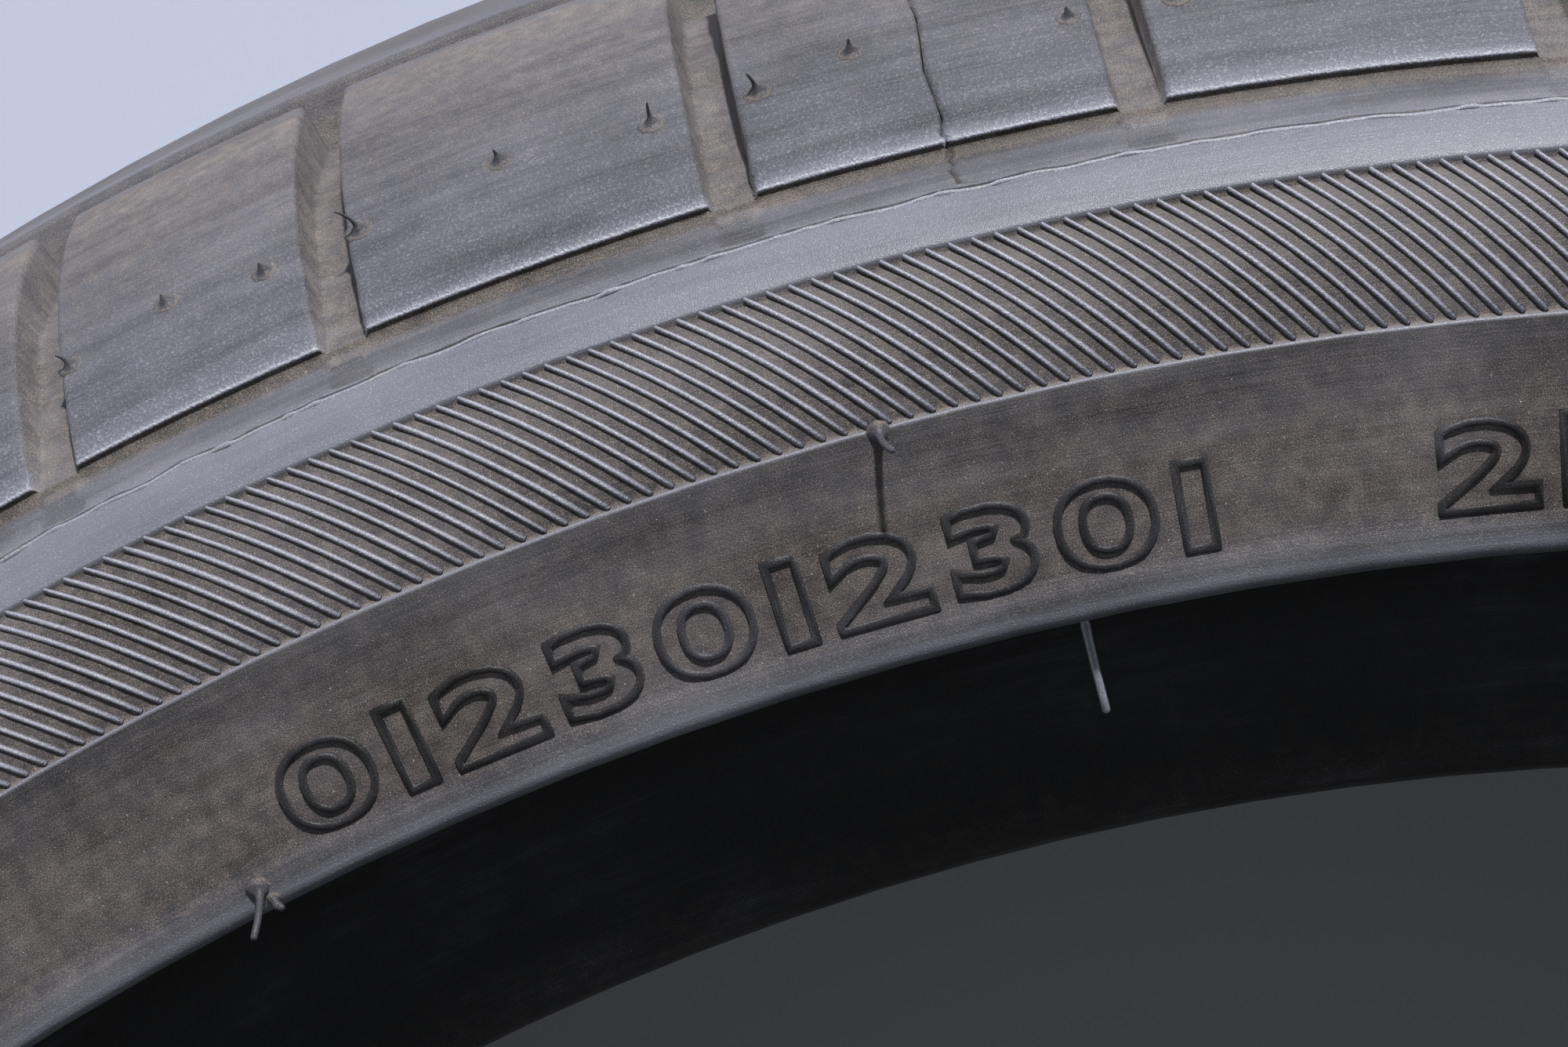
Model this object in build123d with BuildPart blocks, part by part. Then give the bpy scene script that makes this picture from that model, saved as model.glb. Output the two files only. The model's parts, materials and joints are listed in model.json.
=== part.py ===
"""A low radial car tyre, moulded in one piece, with thick sidewalls and rim protector ribs.

Millimetres. The tyre's axis is Z and the origin is its centre, so it lies on its side with +Z up.
Places in the section are pairs: radius from the axis, height above the middle plane.
"""
from build123d import *
from math import asin, cos, hypot, sin, sqrt
import os

# Size marking, as on any tyre: section width, height of the section over that width, rim diameter
section_width = 255.0
aspect_ratio = 0.35
rim_diameter = 482.6

# Tread: a shallow arc across the tyre, round shoulders that end in a step, channels round the tyre
crown_curve = 590.0
shoulder_drop = 24.5
shoulder_inset = 11.5
step_depth = 1.4
channel_inner = 19.0
channel_outer = 69.0
channel_width = 10.0
channel_depth = 7.0
channel_draft = 1.0

# Grooves across each shoulder, in equal sectors of three long pitches and one short one
sectors = 15
long_pitches = 3
short_pitch = 4.98
first_groove = 13.63
groove_width = 4.2
groove_depth = 5.0
groove_bend_depth = 3.4
groove_lip = 0.3
far_side_turn = 12.0

# Sidewall: a recessed band below the shoulder, a flat label band, a rim protector rib
band_drop = 44.3
band_width = 12.5
band_recess = 0.6
protector_height = 26.1
protector_land = 1.2
protector_rise = 0.5
protector_ramp = 1.5
protector_lip = 1.2

# Bead: inset from the widest section, outer face, heel, flared seat with a short straight land, toe
bead_inset = 25.0
bead_face = 3.0
heel_radius = 4.0
seat_flare = 1.2
flare_length = 7.5
seat_land = 10.5
toe_chamfer = 2.0

# Thickness of the carcass at the crown, the shoulder, the sidewall and above the bead, and its inner rounds
crown_thickness = 15.0
shoulder_thickness = 17.5
side_thickness = 14.0
bead_thickness = 17.5
bead_apex_height = 15.0
shoulder_round = 50.0
side_round = 14.0
bead_round = 10.0

# Room that each cutter stands past the rubber
cutter_room = 15.0

# Places that follow from the sizes above
rim_radius = rim_diameter / 2
section_half = section_width / 2
crown_radius = rim_radius + aspect_ratio * section_width
bead_half = section_half - bead_inset
block_edge = (crown_radius - shoulder_drop, section_half - shoulder_inset)
band_inner = crown_radius - band_drop
band_outer = band_inner + band_width
protector_edge = rim_radius + protector_height
protector_top = section_half + protector_rise


def crown_at(height):
    """Radius of the tread arc at a height above the middle plane."""
    return crown_radius - crown_curve + sqrt(crown_curve ** 2 - height ** 2)


# The shoulder arc leaves the tread arc in the outer channel, without a corner, and ends at the block edge
shoulder_point = (crown_at(channel_outer), channel_outer)
start_lean = asin(channel_outer / crown_curve)
chord_run = shoulder_point[0] - block_edge[0]
chord_rise = block_edge[1] - shoulder_point[1]
chord_lean = asin(chord_run / hypot(chord_run, chord_rise))
edge_lean = 2 * chord_lean - start_lean
shoulder_radius = hypot(chord_run, chord_rise) / (2 * sin(chord_lean - start_lean))
shoulder_centre = (
    shoulder_point[0] - shoulder_radius * cos(start_lean),
    shoulder_point[1] - shoulder_radius * sin(start_lean),
)
step_foot = (block_edge[0] - step_depth * cos(edge_lean), block_edge[1] - step_depth * sin(edge_lean))

# The side arc runs from the step's foot to the flat label band, which it meets without a corner
side_run = step_foot[0] - band_inner
side_rise = section_half - step_foot[1]
side_radius = (side_run ** 2 + side_rise ** 2) / (2 * side_rise)
side_centre = (band_inner, section_half - side_radius)


def side_at(radius, recess=0.0):
    """Point of the side arc, or of its recessed copy, at a distance from the axis."""
    reach = side_radius - recess
    return (radius, side_centre[1] + sqrt(reach ** 2 - (radius - side_centre[0]) ** 2))


# Places of the shoulder grooves: the far side's are turned, so that the two sides don't line up
sector_angle = 360 / sectors
long_pitch = (sector_angle - short_pitch) / long_pitches
groove_turns = [
    first_groove + sector * sector_angle + pitch * long_pitch
    for sector in range(sectors)
    for pitch in range(long_pitches + 1)
]
near_places = [Location((0, 0, 0), (0, 0, turn)) for turn in groove_turns]
far_places = [Location((0, 0, 0), (0, 0, turn + far_side_turn)) for turn in groove_turns]

# One groove's cutter: the floor bends half-way down the shoulder and runs out in a low lip over the step's foot
floor_reach = shoulder_radius - groove_bend_depth
floor_start = (shoulder_point[0] - groove_depth, channel_outer)
floor_bend = (
    shoulder_centre[0] + floor_reach * cos(chord_lean),
    shoulder_centre[1] + floor_reach * sin(chord_lean),
)
floor_end = (
    step_foot[0] + groove_lip * (cos(edge_lean) - sin(edge_lean)),
    step_foot[1] + groove_lip * (sin(edge_lean) + cos(edge_lean)),
)
open_air = (crown_radius + cutter_room, section_half + cutter_room)

with BuildPart() as near_groove:
    with BuildSketch(Plane.XZ):
        with BuildLine():
            Polyline(
                floor_start,
                floor_bend,
                floor_end,
                (floor_end[0], open_air[1]),
                open_air,
                (open_air[0], channel_outer),
                close=True,
            )
        make_face()
    extrude(amount=groove_width / 2, both=True)

with BuildPart() as far_groove:
    add(near_groove.part)
    mirror(about=Plane.XY, mode=Mode.REPLACE)

# Half of the section: the bead's corners and the points of the inner lining
heel_top = (rim_radius + seat_flare + heel_radius, bead_half)
heel_end = (rim_radius + seat_flare, bead_half - heel_radius)
seat_top = (rim_radius, heel_end[1] - flare_length)
seat_end = (rim_radius, seat_top[1] - seat_land)
toe = (rim_radius + toe_chamfer, seat_end[1] - toe_chamfer)
bead_top = (heel_top[0] + bead_face, bead_half)
liner_bead = (rim_radius + bead_apex_height, bead_half - bead_thickness)
liner_shoulder = (shoulder_point[0] - shoulder_thickness, channel_outer)
liner_side = ((liner_bead[0] + liner_shoulder[0]) / 2, section_half - side_thickness)
liner_crown = (crown_radius - crown_thickness, 0)
liner_rounds = [bead_round, side_round, shoulder_round]

# The tyre: half of the section is closed by its own mirror image and turned round the axis
with BuildPart() as tyre:
    with BuildSketch(Plane.XZ):
        with BuildLine():
            crown_middle = (crown_at(channel_outer / 2), channel_outer / 2)
            crown = ThreePointArc((crown_radius, 0), crown_middle, shoulder_point)
            TangentArc(shoulder_point, block_edge, tangent=crown % 1)
            Line(block_edge, step_foot)
            upper_middle = side_at((step_foot[0] + band_outer) / 2)
            ThreePointArc(step_foot, upper_middle, side_at(band_outer))
            Line(side_at(band_outer), side_at(band_outer, band_recess))
            band_middle = side_at(band_inner + band_width / 2, band_recess)
            ThreePointArc(side_at(band_outer, band_recess), band_middle, side_at(band_inner, band_recess))
            Polyline(
                side_at(band_inner, band_recess),
                (band_inner, section_half),
                (protector_edge + protector_lip + protector_land + protector_ramp, section_half),
                (protector_edge + protector_lip + protector_land, protector_top),
                (protector_edge + protector_lip, protector_top),
            )
            lip_end = (protector_edge, protector_top - protector_lip)
            TangentArc((protector_edge + protector_lip, protector_top), lip_end, tangent=(-1, 0))
            TangentArc(bead_top, lip_end, tangent=(1, 0))
            Line(bead_top, heel_top)
            TangentArc(heel_top, heel_end, tangent=(-1, 0))
            Polyline(heel_end, seat_top, seat_end, toe)
            FilletPolyline(toe, liner_bead, liner_side, liner_shoulder, liner_crown, radius=liner_rounds)
            mirror(about=Plane.XZ)
        make_face()
    revolve(axis=Axis.Z)

    # Channels round the tread, narrower at the bottom
    with BuildSketch(Plane.XZ):
        for middle in (channel_inner, channel_outer):
            bottom = crown_at(middle) - channel_depth
            top = crown_at(middle) + cutter_room
            spread = channel_width / 2 + channel_draft * cutter_room / channel_depth
            with BuildLine():
                Polyline(
                    (bottom, middle - channel_width / 2 + channel_draft),
                    (bottom, middle + channel_width / 2 - channel_draft),
                    (top, middle + spread),
                    (top, middle - spread),
                    close=True,
                )
            make_face()
        mirror(about=Plane.XZ)
    revolve(axis=Axis.Z, mode=Mode.SUBTRACT)

    # Shoulder grooves on both sides
    with Locations(*near_places):
        add(near_groove.part, mode=Mode.SUBTRACT)
    with Locations(*far_places):
        add(far_groove.part, mode=Mode.SUBTRACT)

tyre.part.label = "tyre"
os.makedirs("parts", exist_ok=True)
export_step(tyre.part, "parts/tyre.step")
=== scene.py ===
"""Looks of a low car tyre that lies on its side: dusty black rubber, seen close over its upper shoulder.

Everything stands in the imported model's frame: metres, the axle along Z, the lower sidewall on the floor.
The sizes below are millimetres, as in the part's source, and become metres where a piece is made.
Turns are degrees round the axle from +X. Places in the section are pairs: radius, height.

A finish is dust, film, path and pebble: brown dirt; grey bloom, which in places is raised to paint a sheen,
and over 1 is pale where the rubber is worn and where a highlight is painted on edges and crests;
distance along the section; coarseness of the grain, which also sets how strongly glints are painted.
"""
from dataclasses import dataclass, replace
from math import asin, atan2, cos, hypot, pi, radians, sin, sqrt, tan
import json

from mathutils import Matrix, Vector
from mathutils.geometry import interpolate_bezier
import bmesh
import bpy
import numpy as np


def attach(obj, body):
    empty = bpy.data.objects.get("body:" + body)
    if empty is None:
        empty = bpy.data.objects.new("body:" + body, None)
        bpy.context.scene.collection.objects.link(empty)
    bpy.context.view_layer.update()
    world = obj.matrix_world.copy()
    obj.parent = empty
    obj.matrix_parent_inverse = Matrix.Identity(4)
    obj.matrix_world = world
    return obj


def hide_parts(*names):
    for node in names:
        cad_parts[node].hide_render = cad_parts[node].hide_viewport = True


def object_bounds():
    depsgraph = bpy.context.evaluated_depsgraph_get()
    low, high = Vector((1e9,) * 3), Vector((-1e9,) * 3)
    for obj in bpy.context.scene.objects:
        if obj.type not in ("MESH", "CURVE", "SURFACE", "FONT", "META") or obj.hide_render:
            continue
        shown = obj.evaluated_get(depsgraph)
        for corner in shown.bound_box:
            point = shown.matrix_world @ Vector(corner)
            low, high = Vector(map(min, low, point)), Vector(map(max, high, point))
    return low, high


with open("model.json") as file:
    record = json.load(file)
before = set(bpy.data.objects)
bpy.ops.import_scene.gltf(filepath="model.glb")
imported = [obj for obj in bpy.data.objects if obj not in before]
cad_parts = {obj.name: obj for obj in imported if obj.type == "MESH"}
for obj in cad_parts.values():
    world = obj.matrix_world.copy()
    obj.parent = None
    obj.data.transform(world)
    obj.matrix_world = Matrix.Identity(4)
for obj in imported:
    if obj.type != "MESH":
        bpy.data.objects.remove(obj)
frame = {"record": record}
cad_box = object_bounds()

MM = 0.001
chance = np.random.default_rng(seed=19)

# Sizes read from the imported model
seats = {mount["name"]: mount for mount in frame["record"]["mounts"]}
rim_radius = seats["upper_bead_seat"]["dims"]["r_mm"]
crown_radius = cad_box[1].x / MM
protector_top = cad_box[1].z / MM

# Tread: a shallow arc across the tyre, with channels round it
crown_curve = 590.0
channel_inner = 19.0
channel_outer = 69.0
channel_half = 5.0
channel_depth = 7.0
channel_draft = 1.0
edge_bevel = 0.45

# Shoulder: a round that ends in a step
shoulder_drop = 24.5
shoulder_inset = 11.5
step_depth = 1.4

# Grooves across each shoulder, and one sipe a sector, shallower past the step
sectors = 15
long_pitches = 3
short_pitch = 4.98
first_groove = 13.63
far_side_turn = 12.0
groove_depth = 5.0
groove_bend_depth = 3.4
groove_lip = 0.3
sipe_turn = 9.35
sipe_pitch = 1
sipe_depth = 1.3
sipe_end_depth = 0.5

# Sidewall: parting line of the mould, recessed hatch band, flat label band, protector rib
parting_radius = 302.3
band_drop = 44.3
band_width = 12.5
band_recess = 0.6
protector_height = 26.1
protector_rise = 0.5
protector_land = 1.2
protector_ramp = 1.5
protector_lip = 1.2

# Bead: inset from the widest section, outer face, heel, flared seat, toe
bead_inset = 25.0
bead_face = 3.0
heel_radius = 4.0
seat_flare = 1.2
flare_length = 7.5
seat_land = 10.5
toe_chamfer = 2.0

# Lining: its corners follow from these thicknesses and are rounded
crown_thickness = 15.0
shoulder_thickness = 17.5
side_thickness = 14.0
bead_thickness = 17.5
bead_apex_height = 15.0
lining_rounds = (10.0, 14.0, 50.0)
lining_steps = 5

# How finely the body is divided round the axle
coarse_columns = 180
block_columns = 4

# Places that follow from the sizes above
section_half = protector_top - protector_rise
bead_half = section_half - bead_inset
block_edge = (crown_radius - shoulder_drop, section_half - shoulder_inset)
channel_foot = channel_half - channel_draft
band_inner = crown_radius - band_drop
band_outer = band_inner + band_width
protector_edge = rim_radius + protector_height
land_inner = protector_edge + protector_lip
land_outer = land_inner + protector_land
ramp_foot = land_outer + protector_ramp
heel_top = rim_radius + seat_flare + heel_radius
seat_top = bead_half - heel_radius - flare_length
seat_end = seat_top - seat_land
sector_angle = 360 / sectors
long_pitch = (sector_angle - short_pitch) / long_pitches


def on_arc(centre, radius, angle):
    """Point of an arc in the section, at an angle in radians."""
    return (centre[0] + radius * np.cos(angle), centre[1] + radius * np.sin(angle))


def crown_at(height, drop=0.0):
    """Point of the tread arc at a height, or under it by drop."""
    return (crown_radius - crown_curve + sqrt(crown_curve ** 2 - height ** 2) - drop, height)


# The shoulder arc leaves the tread arc in the outer channel and ends at the block edge
shoulder_start = crown_at(channel_outer)
start_lean = asin(channel_outer / crown_curve)
chord = (shoulder_start[0] - block_edge[0], block_edge[1] - shoulder_start[1])
chord_lean = atan2(chord[0], chord[1])
edge_lean = 2 * chord_lean - start_lean
shoulder_radius = hypot(*chord) / (2 * sin(chord_lean - start_lean))
shoulder_centre = on_arc(shoulder_start, -shoulder_radius, start_lean)
shoulder_length = shoulder_radius * (edge_lean - start_lean)
floor_sag = (shoulder_length / 2) ** 2 / (8 * shoulder_radius)


def shoulder_at(run, drop=0.0):
    """Point of the shoulder arc at a distance back from the block edge, or under it by drop."""
    return on_arc(shoulder_centre, shoulder_radius - drop, edge_lean - run / shoulder_radius)


def shoulder_run(height):
    """Distance back from the block edge to a height on the shoulder arc."""
    return shoulder_radius * (edge_lean - asin((height - shoulder_centre[1]) / shoulder_radius))


def floor_depth(run):
    """Depth of a groove's floor: two straight slopes that meet half-way down the shoulder."""
    share = 2 * run / shoulder_length
    shallow, deep = step_depth - groove_lip, groove_bend_depth
    if share > 1:
        share = share - 1
        shallow, deep = groove_bend_depth, groove_depth
    return shallow + (deep - shallow) * share + 4 * floor_sag * share * (1 - share)


# The side arc runs from the step's foot to the flat label band
step_foot = shoulder_at(0, step_depth)
side_rise = section_half - step_foot[1]
side_run = step_foot[0] - band_inner
side_radius = (side_run ** 2 + side_rise ** 2) / (2 * side_rise)
side_centre = (band_inner, section_half - side_radius)
foot_turn = atan2(step_foot[1] - side_centre[1], side_run)


def side_at(run, drop=0.0):
    """Point of the side arc at a distance from the step's foot, or under it by drop."""
    return on_arc(side_centre, side_radius - drop, foot_turn + run / side_radius)


def side_distance(radius):
    """Distance along the side arc from the step's foot to a distance from the axle."""
    offset = radius - side_centre[0]
    return side_radius * (atan2(sqrt(side_radius ** 2 - offset ** 2), offset) - foot_turn)


hatch_start = side_distance(band_outer)
hatch_end = side_distance(band_inner)
parting_run = side_distance(parting_radius)

# Finish of a plain surface
plain_film = 0.5
plain_dust = 0.2
plain_pebble = 0.1


@dataclass
class Row:
    """One ring of the body: its place on the blocks, in the grooves and in the sipes, and its finish."""

    block: tuple
    film: float = plain_film
    dust: float = plain_dust
    groove: tuple = None
    sipe: tuple = None
    fine: bool = False
    narrow: float = 1.0
    groove_dust: float = plain_dust
    pebble: float = plain_pebble


# Ribs of the tread: heights of their rows; film and dust
middle_rib = (0.0, 7.0)
outer_rib = (31.0, 42.0, 53.0)
rib_finish = (0.38, 0.42)

# Wall of a tread channel: distance from the channel's middle, depth, dust
channel_film = 0.55
channel_wall = (
    (channel_half + 1.2, 0.0, 0.3),
    (channel_half + edge_bevel, 0.0, 0.3),
    (channel_half, 0.3 * edge_bevel, 0.3),
    (channel_half - 0.25, 1.6 * edge_bevel, 0.35),
    (channel_foot + 0.1, channel_depth - 0.9, 0.6),
    (channel_foot - 0.5, channel_depth, 0.6),
)


def channel_rows(middle, way):
    """Rows down one wall of a tread channel: way is -1 for the wall nearer the middle plane."""
    wall = [(crown_at(middle + way * away, depth), dust) for away, depth, dust in channel_wall]
    return [Row(place, channel_film, dust) for place, dust in wall]


def tread_rows():
    """The tread from the middle plane to the floor of the outer channel."""
    ribs = [[Row(crown_at(height), *rib_finish) for height in rib] for rib in (middle_rib, outer_rib)]
    inner_channel = channel_rows(channel_inner, -1) + channel_rows(channel_inner, 1)[::-1]
    return ribs[0] + inner_channel + ribs[1] + channel_rows(channel_outer, -1)


# Foot of the outer channel's wall, at a block and in a groove: rise, distance past the foot
block_foot = (0.9, 0.1)
groove_foot = (0.6, 0.05)
foot_round = 0.5
foot_dust = 0.5
floor_dust = 0.6

# Back of a block, at that channel: distance from the wall's top, depth, dust
block_back = ((0.1, 1.6 * edge_bevel, 0.4), (0.3, 0.3 * edge_bevel, 0.35), (0.9, 0.0, 0.4))

# Top of a block: distances back from its edge, along which dust grows and pebbles, with the glints painted on
# them, fade
block_runs = (42.0, 38.0, 34.0, 30.0, 26.0, 22.0, 18.0, 14.0, 10.0, 6.0, 3.0)
block_film = 0.49
block_dust = 0.14
block_dust_gain = 0.5
block_dust_start = 7.0
block_dust_reach = 34.0
pebble_loss = 0.6
pebble_reach = 30.0

# Worn edge of a block, whose film over 1 paints a bright highlight line along it as well as wear: distance
# back from it, depth, share of the tongue, film
edge_dust = 0.05
block_front = (
    (1.6, 0.0, 0.0, 0.55), (0.85, 0.0, 0.24, 0.65), (0.4, 0.03, 0.36, 0.95), (0.15, 0.12, 0.45, 1.55),
    (0.0, 0.35, 0.5, 0.9),
)

# Dirt at the foot of the step: distance from the foot, depth, share of the tongue, film, dust
step_dirt = (
    (0.08, -0.85, 0.57, 0.15, 0.6), (0.4, -0.45, 0.68, 0.15, 0.5), (0.9, -0.12, 0.88, 0.2, 0.5),
    (1.2, 0.02, 1.0, 0.35, 0.42),
)

# Narrow band past it: distance from the foot, share of the lip's height, width of the tongue, film, dust
narrow_band = (
    (1.5, 1.0, 0.98, 0.5, 0.3), (2.0, 0.93, 0.9, 0.5, 0.25), (2.35, 0.6, 0.78, 0.5, 0.2),
    (2.6, 0.0, 0.7, 0.5, 0.2), (3.6, 0.0, 1.0, 0.5, 0.2), (4.7, 0.0, 1.0, 0.7, 0.25),
)

# Tongue of a groove: where it starts behind the block edge and ends past the step; its dirt
tongue_back = 1.6
tongue_reach = 1.2
tongue_dirt_end = 2.2
tongue_dust = 0.51


def on_tongue(share):
    """Point between the groove's floor and the end of its tongue past the step."""
    start = np.array(shoulder_at(tongue_back, floor_depth(tongue_back)))
    end = np.array(side_at(tongue_reach, -groove_lip))
    return tuple(start + share * (end - start))


def block_row(run, drop, groove, film, dust):
    """A row of the block's surface, most pebbled near its edge, with the groove beside it."""
    sipe = shoulder_at(run, drop + sipe_depth)
    pebble = 1.0 - pebble_loss * min(1.0, run / pebble_reach)
    return Row(shoulder_at(run, drop), film, dust, groove, sipe, True, groove_dust=tongue_dust, pebble=pebble)


def step_row(run, drop, groove, narrow, film, dust):
    """A row past the step, where the groove's floor ends as a low tongue on the narrow band."""
    sipe = side_at(run, drop + sipe_end_depth)
    groove_dust = max(dust, tongue_dust) if run < tongue_dirt_end else dust
    return Row(side_at(run, drop), film, dust, groove, sipe, True, narrow, groove_dust)


def shoulder_rows():
    """The blocks and grooves from the outer channel down to the parting line, finely divided."""
    wall_foot = channel_outer + channel_foot
    wall_top = shoulder_run(channel_outer + channel_half)
    floor = crown_at(channel_outer, channel_depth)[0]
    block = (floor + block_foot[0], wall_foot + block_foot[1])
    groove = (floor + groove_foot[0], wall_foot + groove_foot[1])
    rows = [
        Row((floor, channel_outer), fine=True, dust=floor_dust),
        Row((floor, wall_foot - foot_round), fine=True, dust=floor_dust),
        Row(block, groove=groove, fine=True, dust=foot_dust, groove_dust=floor_dust),
    ]
    for distance, drop, dust in block_back:
        run = wall_top - distance
        rows.append(block_row(run, drop, shoulder_at(run, floor_depth(run)), plain_film, dust))
    for run in block_runs:
        dust = block_dust + block_dust_gain * max(0.0, (run - block_dust_start) / block_dust_reach)
        rows.append(block_row(run, 0.0, shoulder_at(run, floor_depth(run)), block_film, dust))
    for run, drop, share, film in block_front:
        rows.append(block_row(run, drop, on_tongue(share), film, edge_dust))
    for run, drop, share, film, dust in step_dirt:
        rows.append(step_row(run, drop, on_tongue(share), 1.0, film, dust))
    for run, share, narrow, film, dust in narrow_band:
        rows.append(step_row(run, 0.0, side_at(run, -share * groove_lip), narrow, film, dust))
    return rows


# Smooth band: distances from the step's foot; film and dust, the film high so that the bloom paints a sheen
# there
smooth_runs = (5.6, 6.6, 8.0, 9.3)
smooth_finish = (0.84, 0.05)

# Hatch band: shares of its width, film and dust; step down to it: distance past its line, depth, film, dust,
# the film over 1 at the step's edge painting a highlight there
hatch_shares = (0.18, 0.32, 0.46, 0.6, 0.74, 0.88, 0.95)
hatch_finish = (0.4, 0.46)
hatch_step = (
    (-0.5, 0.0, *smooth_finish), (-0.1, 0.02, 1.0, 0.05), (0.05, 0.1, 0.9, 0.1), (0.2, 0.35, 0.5, 0.4),
    (0.4, 0.55, 0.35, 0.5), (0.7, band_recess, *hatch_finish),
)

# Step up to the label band: distance before its line, depth, film, dust, the film over 1 at its top edge
# painting a highlight there
label_step = ((0.35, band_recess, 0.4, 0.65), (0.12, 0.5, 0.6, 0.5), (0.05, 0.07, 1.1, 0.1))

# Label band: radius, film, dust; the high film of its first row, at the step's edge, is a painted highlight
label_band = (
    (band_inner - 0.08, 0.8, 0.15), (band_inner - 0.25, 0.42, 0.3), (284.0, 0.36, 0.33), (281.5, 0.36, 0.38),
    (279.0, 0.36, 0.48), (275.5, 0.36, 0.5), (ramp_foot + 0.8, 0.36, 0.45),
)

# Protector rib: radius, height, film, dust
rib_ramp = (
    (ramp_foot + 0.1, section_half + 0.02, 0.34, 0.38),
    (ramp_foot - 0.6, section_half + 0.2, 0.36, 0.34),
    (land_outer + 0.3, protector_top - 0.08, 0.42, 0.26),
    (land_outer - 0.3, protector_top, 0.46, 0.2),
)

# Rounded lip of the rib: degrees round it, film, which is higher on its upper round to paint a highlight
# there
lip_dust = 0.1
lip_round = ((90, 0.75), (115, 0.75), (140, 0.4), (165, 0.4), (180, 0.4))


def side_rows():
    """The smooth band, the recessed hatch band, the label band and the protector rib."""
    hatch_width = hatch_end - hatch_start
    hatch_runs = [hatch_start + share * hatch_width for share in hatch_shares]
    lip_centre = (land_inner, protector_top - protector_lip)
    rows = [Row(side_at(run), *smooth_finish) for run in smooth_runs]
    rows += [Row(side_at(hatch_start + past, drop), film, dust) for past, drop, film, dust in hatch_step]
    rows += [Row(side_at(run, band_recess), *hatch_finish) for run in hatch_runs]
    rows += [Row(side_at(hatch_end - before, drop), film, dust) for before, drop, film, dust in label_step]
    rows += [Row((radius, section_half), film, dust) for radius, film, dust in label_band]
    rows += [Row((radius, height), film, dust) for radius, height, film, dust in rib_ramp]
    lip = [(on_arc(lip_centre, protector_lip, radians(turn)), film) for turn, film in lip_round]
    return rows + [Row(place, film, lip_dust) for place, film in lip]


# Flange: shares of its hollow arc, with one thin raised line; it is left clean, so black that it also paints
# the shade under the rib
flange_shares = (0.04, 0.12, 0.2, 0.235, 0.25, 0.265, 0.3, 0.4, 0.52, 0.64, 0.76, 0.88, 0.97)
line_share = 0.25
line_rise = 0.2

# Heel and seat of the bead: degrees round the heel, places on the seat; film and dust
heel_turns = (90, 115, 140, 160, 180)
heel_finish = (0.05, 0.1)
heel_face = 0.5
seat_finish = (0.2, 0.1)
seat_places = (
    (rim_radius + 0.04, seat_top + 0.3),
    (rim_radius, seat_end + 0.3),
    (rim_radius + toe_chamfer / 2, seat_end - toe_chamfer / 2),
)
lining_finish = (0.16, 0.05)


def bead_rows():
    """The hollow flange under the protector, the bead's outer face, heel, seat and toe."""
    lip_end = (protector_edge, protector_top - protector_lip)
    bead_top = (heel_top + bead_face, bead_half)
    across = lip_end[0] - bead_top[0]
    up = lip_end[1] - bead_top[1]
    hollow = (across ** 2 + up ** 2) / (2 * up)
    centre = (bead_top[0], bead_half + hollow)
    start = atan2(lip_end[1] - centre[1], across)
    rows = []
    for share in flange_shares:
        turn = start + share * (-pi / 2 - start)
        reach = hollow - (line_rise if share == line_share else 0.0)
        # No bloom and no dust: the flange takes the clean colour, which is painted shade under the rib as
        # well as clean rubber.
        rows.append(Row(on_arc(centre, reach, turn), film=0.0, dust=0.0))
    heel_centre = (heel_top, bead_half - heel_radius)
    rows.append(Row((heel_top + heel_face, bead_half), *heel_finish))
    rows += [Row(on_arc(heel_centre, heel_radius, radians(turn)), *heel_finish) for turn in heel_turns]
    return rows + [Row(place, *seat_finish) for place in seat_places]


def rounded(points, rounds, steps):
    """An open path through points whose inner corners are rounded."""
    points = np.array(points)
    share = np.linspace(0, 1, steps + 1)[:, None]
    path = [points[:1]]
    for before, corner, after, radius in zip(points, points[1:], points[2:], rounds):
        back = (before - corner) / np.linalg.norm(before - corner)
        ahead = (after - corner) / np.linalg.norm(after - corner)
        cut = radius * tan((pi - np.arccos(back @ ahead)) / 2)
        path.append(corner + cut * (back * (1 - share) ** 2 + ahead * share ** 2))
    return np.concatenate(path + [points[-1:]])


def lining_rows():
    """The inside of the carcass, from the toe of the bead to the middle plane."""
    toe = (rim_radius + toe_chamfer, seat_end - toe_chamfer)
    apex = (rim_radius + bead_apex_height, bead_half - bead_thickness)
    shoulder = (shoulder_start[0] - shoulder_thickness, channel_outer)
    side = ((apex[0] + shoulder[0]) / 2, section_half - side_thickness)
    crown = (crown_radius - crown_thickness, 0.0)
    path = rounded((toe, apex, side, shoulder, crown), lining_rounds, lining_steps)
    return [Row(tuple(place), *lining_finish) for place in path]


# Columns across a groove or a sipe: distance from its middle, share of its depth; shares beside the sipe
groove_columns = (
    (-2.7, 0.0), (-2.3, 0.02), (-2.1, 0.16), (-1.85, 0.9), (-1.4, 1.0),
    (1.4, 1.0), (1.85, 0.9), (2.1, 0.16), (2.3, 0.02), (2.7, 0.0),
)
sipe_columns = ((-0.6, 0.0), (-0.13, 0.0), (0.0, 1.0), (0.13, 0.0), (0.6, 0.0))
beside_sipe = (0.2, 0.4, 0.75)
block_shares = np.arange(1, block_columns + 1) / (block_columns + 1)
coarse_turns = first_groove + np.arange(coarse_columns) * 360 / coarse_columns

# The sipe sways from row to row, and the edges of the grooves are a little ragged
sipe_sway = 0.25
sipe_sway_pace = 1.7
edge_raggedness = 0.07
edge_shift = 3.1

# Finish in grooves and sipes: most bloom, onset of dust, dust in a sipe, loss of pebbles
groove_film = 0.45
groove_dust_onset = 5
sipe_dust = 0.2
groove_pebble_loss = 0.7

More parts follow.
